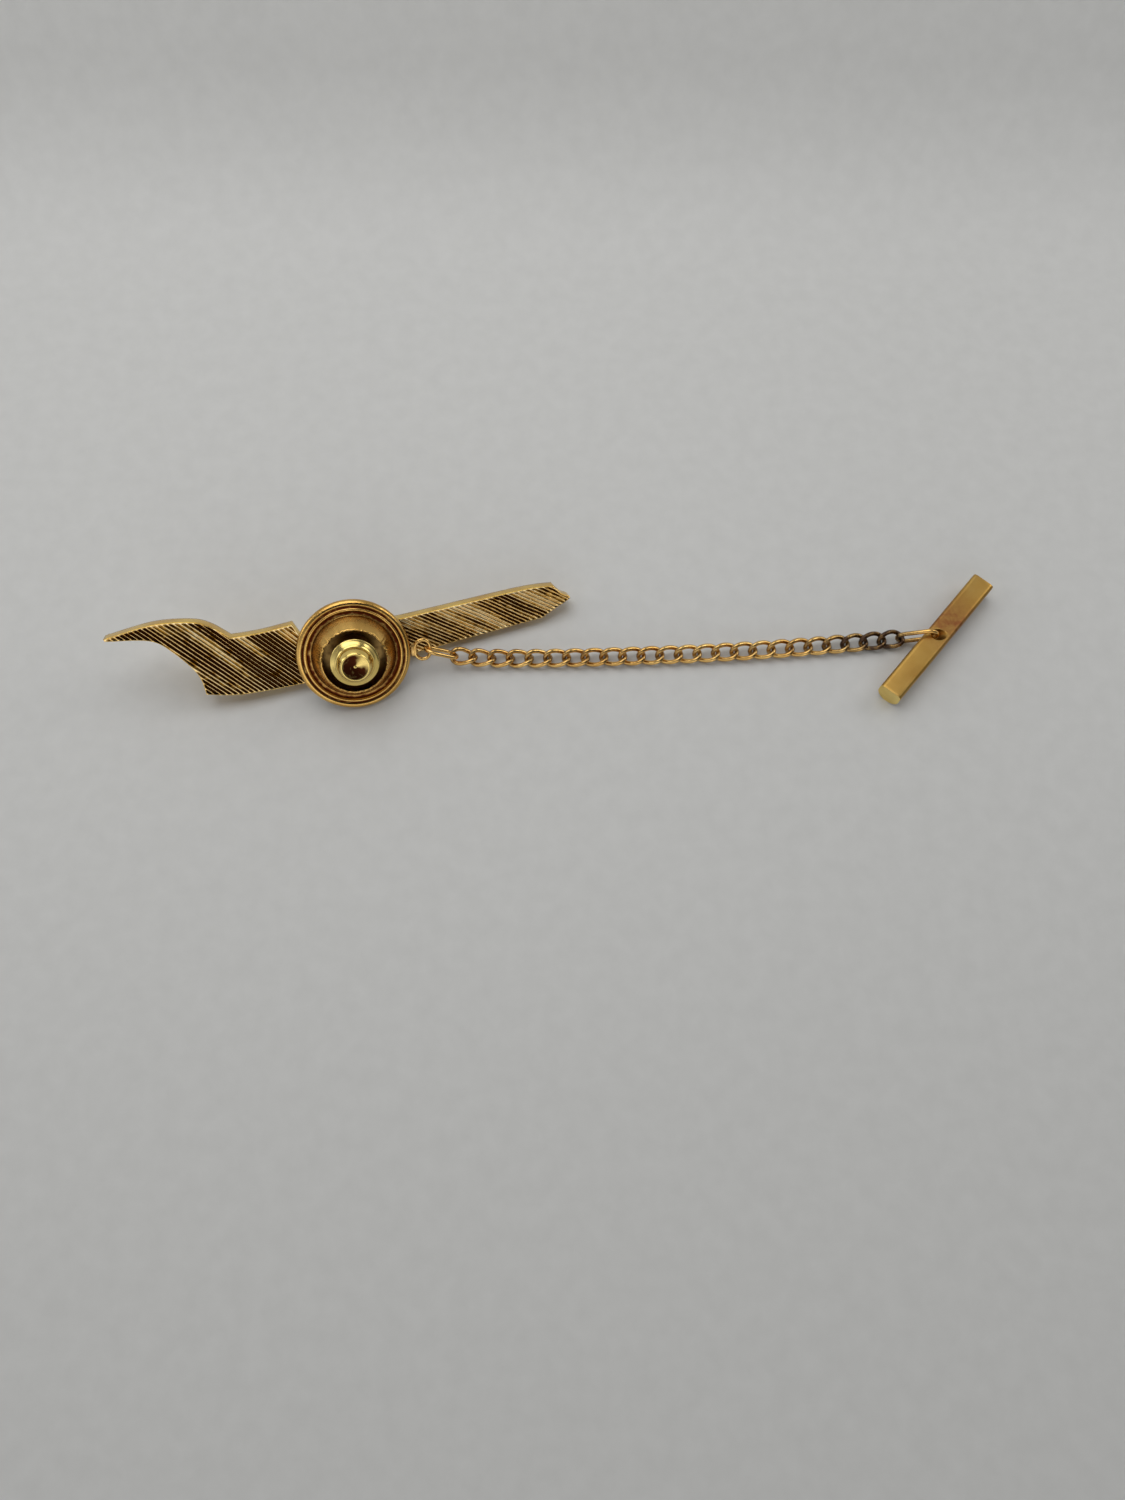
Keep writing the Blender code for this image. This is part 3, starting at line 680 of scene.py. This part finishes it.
def build_ornament():
    """The plate: its wall and front are plain, its back is ridged."""
    outline = ornament_outline()
    bm = bmesh.new()
    add_wall(bm, outline)
    points, height, tarnish_and_shade, faces = ornament_back(outline)
    made = [bm.verts.new((p[0] * MM, p[1] * MM, h * MM)) for p, h in zip(points, height)]
    start = len(bm.verts) - len(made)
    for corners in faces:
        bm.faces.new([made[k] for k in corners])
    mats = [BACK_GOLD, WALL_GOLD]
    ob = finish_piece("Ridged_ornament", bm, ornament_matrix(), "ornament", "Ornament_plate",
                      mats)
    values = np.zeros(len(ob.data.vertices))
    values[start:] = tarnish_and_shade
    set_tarnish_and_shade(ob, values)


def build_post():
    """The post, with a grip groove near its point."""
    profile = [(0.0, 0.02), (0.495, 0.02), (0.495, 4.50), (0.44, 4.60), (0.44, 4.75)]
    profile += [(0.495, 4.85), (0.495, 5.05), (0.12, 5.99), (0.0, 6.04)]
    bm = revolve(rounded(profile, 0.05, 3, closed=False), 48, closed=False)
    ob = finish_piece("Post", bm, ornament_matrix(), "ornament", "Tack_post", [GOLD])
    set_tarnish_and_shade(ob, 0.0)


def build_solder():
    """A slightly uneven fillet of solder round the post's foot."""
    profile = [(0.52, 0.02), (1.24, 0.02), (1.19, 0.13), (0.85, 0.25), (0.60, 0.30), (0.52, 0.35)]
    bm = revolve(rounded(profile, 0.06, 3), 64)
    for v in bm.verts:
        swell = noise.noise(v.co * 900.0)
        v.co.z = max(0.02 * MM, v.co.z * (1 + 0.2 * min(0.0, swell)))
    ob = finish_piece("Solder_fillet", bm, ornament_matrix(), "ornament", "Post_solder_ring",
                      [TIN])
    set_tarnish_and_shade(ob, 0.3)


# ------------------------------------------------------------------ clutch


def build_shell():
    """The cap, from its underside out round the rolled rim, over the bead, up the wall to the
    mouth and back down inside."""
    rim = arc(RIM_R, 0.5, RIM_WIRE_R, -125, 90, 30)
    bead = arc(BEAD_R, 0.94, 0.18, 8, 172, 14)
    profile = [(5.02, 0.14), *rim, (5.22, 0.90), *bead, (4.66, 0.90), (WALL_FOOT_R, 0.93)]
    profile += [(3.90, 1.86), (MOUTH_R + 0.04, MOUTH_TOP - 0.06)]
    profile += [(MOUTH_R - 0.03, MOUTH_TOP - 0.01), (MOUTH_R - 0.12, MOUTH_TOP - 0.01)]
    profile += [(MOUTH_R - SHELL_THICK, MOUTH_TOP - 0.08)]
    profile += [(WALL_FOOT_R - 0.26, 0.70), (4.7, 0.62), (5.02, 0.55)]
    bm = revolve(rounded(profile, 0.05, 3), SHELL_SIDES)
    for v in bm.verts:
        ragged(v)
    ob = finish_piece("Clutch_cap", bm, clutch_matrix(), "clutch", "Clutch_shell",
                      [CUP_GOLD])
    set_tarnish_and_shade(ob, shell_painted_shade(local_points(ob)))


def ragged(v):
    """The cap's mouth is sheared a little unevenly, and its wall is not quite true."""
    x, y, z = (c / MM for c in v.co)
    r = math.hypot(x, y)
    if r > 4.4 or z < 0.8:
        return
    a = math.atan2(y, x)
    ring = Vector((math.cos(a), math.sin(a), 0))
    near = max(0.0, (z - 2.45) / 0.42)
    fine = noise.noise(ring * 7.0) * 0.8 + noise.noise(ring * 19.0) * 0.7
    broad = noise.noise(ring * 1.6 + Vector((0, 0, z * 0.5)))
    r += near * 0.20 * fine - 0.025 * abs(broad)
    z -= near * 0.24 * max(0.0, fine + 0.1)
    v.co = Vector((r * math.cos(a), r * math.sin(a), z)) * MM


def band(values, low, high, soft):
    """1 between low and high, falling to 0 outside over a soft edge."""
    rise = np.clip((values - low) / soft + 0.5, 0, 1)
    fall = np.clip((high - values) / soft + 0.5, 0, 1)
    return rise * fall


def shell_painted_shade(points):
    """Painted shade in the two grooves, inside the mouth and underneath, and painted dark
    reflections at the wall's foot.
    """
    r = np.hypot(points[:, 0], points[:, 1])
    z = points[:, 2]
    # Painted shade in the groove inside the bead and in the one outside it
    cap_groove_shade = band(r, 4.40, 4.74, 0.10) * (z < 1.1)
    outer_groove_shade = band(r, 5.08, 5.30, 0.08) * (z > 0.8)
    # Painted dark reflections on the wall's foot, darkest on the two sides along the ornament
    turn = np.abs(np.cos(np.arctan2(points[:, 1], points[:, 0])))
    foot = band(r, 3.95, 4.42, 0.3) * (z > 0.9) * (0.35 + 0.5 * turn)
    # Painted shade inside the mouth and under the cap
    inside = ((r < 3.27) | ((z < 2.6) & (r < 3.6))) * 1.2
    underside_shade = (z < 0.3) * 0.5
    return np.maximum.reduce([cap_groove_shade * 1.25, outer_groove_shade * 1.1, foot, inside, underside_shade])


def build_base():
    """The disc that closes the cap's underside."""
    profile = [(0.82, 0.04), (4.97, 0.04), (4.97, 0.40), (0.62, 0.40), (0.62, 0.24)]
    bm = revolve(rounded(profile, 0.03, 2), 96)
    ob = finish_piece("Clutch_back_disc", bm, clutch_matrix(), "clutch", "Clutch_base_plate",
                      [BRASS])
    r = np.hypot(*local_points(ob)[:, :2].T)
    set_tarnish_and_shade(ob, 0.25 + 0.35 * (r > 4.6) + 0.3 * (r < 1.0))


def build_knob():
    """The knob has a blind bore: its section runs up the outside to the axis, then down the bore.
    The pit in its top has a painted dark reflection but for a gold wedge on one side and a bright
    pip, and the crease where the flange meets the boss has painted shade."""
    profile = [(1.02, 3.05), (KNOB_FLANGE_R - 0.12, 3.05)]
    profile += arc(KNOB_FLANGE_R - 0.135, 3.17, 0.13, -60, 50, 10)
    profile += [(2.30, 3.35), (2.12, 3.49), (1.96, 3.60), (1.86, 3.70), (1.81, 3.86), (1.77, 4.04)]
    profile += [(1.71, 4.24), (1.63, 4.43), (1.55, 4.58), (1.47, 4.70), (1.40, 4.765), (1.33, 4.76)]
    profile += [(1.26, 4.735), (0.80, 4.64), (0.30, 4.545), (0.15, 4.52), (0.08, 4.545)]
    profile += [(0.0, 4.57)]
    inside = [(0.0, 4.42), (0.57, 4.36), (0.57, 3.52), (1.02, 3.52), (1.02, 3.06)]
    section = rounded(profile, 0.06, 4, closed=False) + inside
    top = next(i for i, p in enumerate(section) if p[0] < AXIS_R)
    bm = revolve(section, KNOB_SIDES, skip=top)
    ob = finish_piece("Release_knob", bm, clutch_matrix(), "knob", "Pull_knob",
                      [KNOB_GOLD])
    x, y, z = local_points(ob).T
    r = np.hypot(x, y)
    # Painted shade in the crease where the flange meets the boss
    crease_shade = band(r, 1.86, 2.02, 0.06) * (z < 3.6)
    # Painted dark reflection in the pit, left off in a gold wedge on one side and on the pip
    wedge = np.clip(1.4 - np.abs(np.arctan2(y, x) - math.radians(20)) / math.radians(44), 0, 1)
    pit_dark_reflection = np.clip((1.38 - r) / 0.2, 0, 1) * (z > 4.45) * (r > 0.16) * (1 - 0.85 * wedge)
    set_tarnish_and_shade(ob, np.maximum(crease_shade * 0.5, 1.3 * pit_dark_reflection))


def eyelet_matrix():
    """The eyelet's axes: across it, back towards the clutch, and out along the post."""
    base, _, _, out = clutch_axes()
    reach = Vector(JOINTS["jump_ring_swing"]["pos_m"]) - base
    radial = (reach - out * out.dot(reach)).normalized()
    middle = base + radial * EYELET_R * MM + out * 0.5 * MM
    return axes_matrix(middle, out.cross(radial), -radial, out)


def build_eyelet():
    """A wire loop with a flat foot against the rim."""
    points, tangents, guides = racetrack(EYELET_HALF[0], EYELET_HALF[1], 28)
    bm = wire(points, tangents, guides, EYELET_WIRE_R, 14)
    foot = bmesh.ops.create_cube(bm, size=1.0)["verts"]
    reach = EYELET_R - 5.92 - EYELET_HALF[1]
    size = Matrix.Diagonal((1.28 * MM, reach * MM, 0.29 * MM, 1.0))
    shift = Matrix.Translation((0, (EYELET_HALF[1] + reach / 2) * MM, 0))
    bmesh.ops.transform(bm, matrix=shift @ size, verts=foot)
    ob = finish_piece("Cap_eyelet", bm, eyelet_matrix(), "clutch", "Chain_eyelet",
                      [COPPER_GOLD])
    bevel = ob.modifiers.new("edge", "BEVEL")
    bevel.width = 0.05 * MM
    bevel.segments = 2
    bevel.limit_method = "ANGLE"
    bevel.angle_limit = math.radians(50)
    at = local_points(ob)
    set_tarnish_and_shade(ob, 0.15 + 0.5 * (at[:, 1] > 0.9))


# ------------------------------------------------------------------- chain


def build_jump_ring():
    """The ring between the eyelet and the first link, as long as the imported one."""
    matrix = wire_axes("Jump_ring")
    reach = node_points("Jump_ring") - np.array(matrix.translation)
    length = float(np.ptp(reach @ np.array(matrix.col[0][:3])))
    points, tangents, guides = racetrack(length / MM / 2 - JUMP_WIRE_R - 0.01, JUMP_HALF_WIDTH, 30)
    bm = wire(points, tangents, guides, JUMP_WIRE_R, 16)
    ob = finish_piece("Connector_ring", bm, matrix, "jump_ring", "Jump_ring",
                      [COPPER_GOLD])
    set_tarnish_and_shade(ob, PLAIN_TARNISH)


def link_line(steps):
    """The line of a curb link: an oval with a twist, so that it lies flat against its
    neighbours."""
    points = []
    tangents = []
    for k in range(steps):
        t = 2 * math.pi * k / steps
        points.append(Vector((LINK_HALF[0] * math.cos(t), LINK_HALF[1] * math.sin(t),
                              -LINK_TWIST * math.sin(2 * t))))
        tangents.append(Vector((-LINK_HALF[0] * math.sin(t), LINK_HALF[1] * math.cos(t),
                                -2 * LINK_TWIST * math.cos(2 * t))))
    guides = [Vector((p.x * 0.6, p.y * 1.6, p.z)) for p in points]
    return points, tangents, guides


def link_dullness(i):
    """The last links before the bar have lost their shine; the rest are only a little dull."""
    late = max(0.0, (i - (LINKS - 6.5)) / 5.0)
    return min(0.92, 0.08 + 0.9 * late ** 1.8)


def build_links():
    """Every link is its own twisted wire, with painted shade at its ends where its neighbours pass
    through.
    """
    for i in range(LINKS):
        name = "Chain_link_%02d" % (i + 1)
        points, tangents, guides = link_line(60)
        bm = wire(points, tangents, guides, LINK_WIRE_R, 14)
        ob = finish_piece("Curb_link_%02d" % (i + 1), bm, wire_axes(name),
                          "link_%02d" % (i + 1), name, [COPPER_GOLD])
        at = local_points(ob)
        # Painted shade at both ends of the link, where its neighbours hook through
        crevice_shade = np.clip((np.abs(at[:, 0]) - 0.6) / 0.5, 0, 1) * 0.45
        set_tarnish_and_shade(ob, np.clip(link_dullness(i) + crevice_shade, 0, 1))


def build_end_ring():
    """The long ring between the last link and the bar."""
    points, tangents, guides = racetrack(END_HALF[0], END_HALF[1], 30)
    bm = wire(points, tangents, guides, END_WIRE_R, 16)
    ob = finish_piece("Bar_ring", bm, wire_axes("End_ring"), "end_ring", "End_ring",
                      [COPPER_GOLD])
    at = local_points(ob)
    set_tarnish_and_shade(ob, np.clip(0.35 - at[:, 0] * 0.25, 0.05, 0.8))


# ------------------------------------------------------------------- T-bar


def bar_matrix():
    """The bar's axes, with the origin under its middle."""
    low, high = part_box("T_bar")
    middle = (low + high) / 2
    middle.z = low.z
    face = Vector(MOUNTS["bar_cloth_face"]["pos_m"])
    along = Vector((face.x - middle.x, face.y - middle.y, 0)).normalized()
    if along.x < 0:
        along.negate()
    up = Vector((0, 0, 1))
    return axes_matrix(middle, along, up.cross(along), up)


def build_bar():
    """A half-round bar with a flat top, ends in the brighter knob gold and a slanting hole."""
    half = BAR_HALF_WIDTH
    section = arc(0, half, half, -180, 0, 48) + [(half, BAR_HEIGHT)] + [(-half, BAR_HEIGHT)]
    section = rounded(section, BAR_EDGE, 6)
    bm = bmesh.new()
    rings = []
    steps = 60
    for k in range(steps + 1):
        x = BAR_LENGTH * (k / steps - 0.5)
        rings.append([bm.verts.new((x * MM, y * MM, (z + 0.003) * MM)) for y, z in section])
    for a, b in zip(rings, rings[1:]):
        join_rings(bm, a, b)
    for end in (rings[0], rings[-1]):
        bm.faces.new(end).material_index = 1
    # The end faces take the brighter knob gold
    mats = [SATIN_GOLD, KNOB_GOLD]
    ob = finish_piece("Toggle_bar", bm, bar_matrix(), "t_bar", "T_bar", mats)
    set_tarnish_and_shade(ob, bar_tarnish(local_points(ob)))
    cut_hole(ob)
    bevel = ob.modifiers.new("worn_edges", "BEVEL")
    bevel.width = 0.05 * MM
    bevel.segments = 3
    bevel.limit_method = "ANGLE"
    bevel.angle_limit = math.radians(55)
    smooth = ob.modifiers.new("even_normals", "WEIGHTED_NORMAL")
    smooth.keep_sharp = True


def bar_tarnish(at):
    """A faint uneven film, and a coppery patch beside the hole."""
    out = np.zeros(len(at))
    for i, (x, y, z) in enumerate(at):
        patch = noise.noise(Vector((x * 0.5, y * 0.9, 4.0)))
        out[i] = max(0.0, patch) * 0.3 + 0.7 * math.exp(-((x - 2.2) / 2.8) ** 2)
    return out


def cut_hole(bar):
    """The hole along the bar's own turning axis, cut into its mesh."""
    joint = JOINTS["t_bar_turn"]
    axis = Vector(joint["axis"]).normalized()
    side = Vector((0, 0, 1)).cross(axis).normalized()
    bm = bmesh.new()
    bmesh.ops.create_cone(bm, cap_ends=True, segments=64, radius1=BAR_HOLE_R * MM,
                          radius2=BAR_HOLE_R * MM, depth=CUTTER_DEPTH * MM)
    mesh = bpy.data.meshes.new("ring_hole_cutter")
    bm.to_mesh(mesh)
    bm.free()
    cutter = bpy.data.objects.new("ring_hole_cutter", mesh)
    bpy.context.scene.collection.objects.link(cutter)
    cutter.matrix_world = axes_matrix(Vector(joint["pos_m"]), side, axis.cross(side), axis)
    cut = bar.modifiers.new("ring_hole", "BOOLEAN")
    cut.operation = "DIFFERENCE"
    cut.solver = "EXACT"
    cut.object = cutter
    bpy.context.view_layer.update()
    graph = bpy.context.evaluated_depsgraph_get()
    made = bpy.data.meshes.new_from_object(bar.evaluated_get(graph))
    bar.modifiers.clear()
    bar.data = made
    bpy.data.objects.remove(cutter)


# ------------------------------------------------------------- inner parts


def paint_inner():
    """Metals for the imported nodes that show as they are, inside the clutch."""
    for name, mat in (("Spring_cup", BRASS), ("Ball_race", STEEL), ("Ball_cage", BRASS),
                      ("Clutch_spring", STEEL), ("Lock_ball_1", STEEL), ("Lock_ball_2", STEEL),
                      ("Lock_ball_3", STEEL)):
        mesh = frame["nodes"][name].data
        mesh.materials.clear()
        mesh.materials.append(mat)


# ------------------------------------------------------------------- stage


def paper():
    """Pale grey seamless paper with a faint grain."""
    mat = bpy.data.materials.new("Paper")
    mat.use_nodes = True
    tree = mat.node_tree
    shader = tree.nodes["Principled BSDF"]
    coords = node(tree, "ShaderNodeTexCoord").outputs["Object"]
    grain = scaled_noise(tree, coords, 0.5, 4.0)
    tree.links.new(ramp(tree, grain, [(0.3, (0.60, 0.60, 0.585)), (0.7, (0.63, 0.63, 0.615))]),
                   shader.inputs["Base Color"])
    shader.inputs["Roughness"].default_value = 0.55
    fine = scaled_noise(tree, coords, 6.0, 2.0)
    relief = node(tree, "ShaderNodeBump", Strength=0.15, Distance=0.02 * MM)
    tree.links.new(fine, relief.inputs["Height"])
    tree.links.new(relief.outputs["Normal"], shader.inputs["Normal"])
    return mat


def build_floor():
    """A sheet of paper that lies flat under the tack and sweeps up behind it."""
    profile = [(y, 0.0) for y in (*PAPER_FRONT, SWEEP_START)]
    for k in range(1, SWEEP_STEPS + 1):
        a = math.radians(SWEEP_DEG * k / SWEEP_STEPS)
        profile.append((SWEEP_START + SWEEP_R * math.sin(a), SWEEP_R * (1 - math.cos(a))))
    y, z = profile[-1]
    profile.append((y + SWEEP_BACK, z + SWEEP_BACK * math.tan(math.radians(SWEEP_DEG))))
    bm = bmesh.new()
    rows = []
    for y, z in profile:
        rows.append([bm.verts.new((x * MM, y * MM, z * MM)) for x in PAPER_X])
    for a, b in zip(rows, rows[1:]):
        for k in range(len(a) - 1):
            bm.faces.new((a[k], a[k + 1], b[k + 1], b[k]))
    for face in bm.faces:
        face.smooth = True
    mesh = bpy.data.meshes.new("Paper_sweep")
    bm.to_mesh(mesh)
    bm.free()
    mesh.materials.append(paper())
    floor = bpy.data.objects.new("Paper_sweep", mesh)
    bpy.context.scene.collection.objects.link(floor)


def soft_light(name, place, aim, size, watts):
    """A white soft box; places and sizes in mm."""
    data = bpy.data.lights.new(name, "AREA")
    data.shape = "RECTANGLE"
    data.size, data.size_y = (s * MM for s in size)
    data.energy = watts
    light = bpy.data.objects.new(name, data)
    bpy.context.scene.collection.objects.link(light)
    light.location = Vector(place) * MM
    way = (Vector(aim) - Vector(place)).normalized()
    light.rotation_euler = way.to_track_quat("-Z", "Y").to_euler()


def build_world():
    """A pale tent round the tack, with a dark gap where somebody stands and looks in."""
    world = bpy.data.worlds.new("Tent")
    bpy.context.scene.world = world
    world.use_nodes = True
    tree = world.node_tree
    way = node(tree, "ShaderNodeTexCoord").outputs["Generated"]
    height = maths(tree, "MULTIPLY", agreement(tree, way, TENT_HIGH), 0.5)
    tone = ramp(tree, maths(tree, "ADD", height, 0.5), TENT_TONES)
    for direction, stops in TENT_PATCHES:
        patch = ramp(tree, agreement(tree, way, direction), stops)
        tone = mix(tree, 1.0, tone, patch, "MULTIPLY")
    background = tree.nodes["Background"].inputs
    tree.links.new(tone, background["Color"])
    background["Strength"].default_value = TENT_STRENGTH


def agreement(tree, way, axis):
    """How far a direction agrees with an axis, from -1 to 1."""
    made = tree.nodes.new("ShaderNodeVectorMath")
    made.operation = "DOT_PRODUCT"
    tree.links.new(way, made.inputs[0])
    made.inputs[1].default_value = Vector(axis).normalized()
    return made.outputs["Value"]


def build_camera():
    """The camera looks down at the table from the near side."""
    data = bpy.data.cameras.new("Camera")
    data.sensor_width = SENSOR
    data.lens = SENSOR * FOCAL / FRAME_TALL
    data.clip_start, data.clip_end = CLIP
    camera = bpy.data.objects.new("Camera", data)
    bpy.context.scene.collection.objects.link(camera)
    lean = math.radians(CAMERA_ELEVATION_DEG)
    low, high = CAD_BOX
    middle = (low + high) / 2
    aim = Vector((middle.x + LOOK_AT[0] * MM, middle.y + LOOK_AT[1] * MM, low.z))
    back = Vector((0, -math.cos(lean), math.sin(lean)))
    camera.location = aim + back * CAMERA_DISTANCE * MM
    camera.rotation_euler = (math.radians(90 - CAMERA_ELEVATION_DEG), 0, 0)
    bpy.context.scene.camera = camera


def plain_colours():
    """Colours as a plain camera shows them, with no film curve."""
    bpy.context.scene.view_settings.view_transform = "Standard"


def main():
    plain_colours()
    build_camera()
    build_world()
    for light in LIGHTS:
        soft_light(*light)
    build_floor()
    build_ornament()
    build_post()
    build_solder()
    build_shell()
    build_base()
    build_knob()
    build_eyelet()
    build_jump_ring()
    build_links()
    build_end_ring()
    build_bar()
    paint_inner()


main()
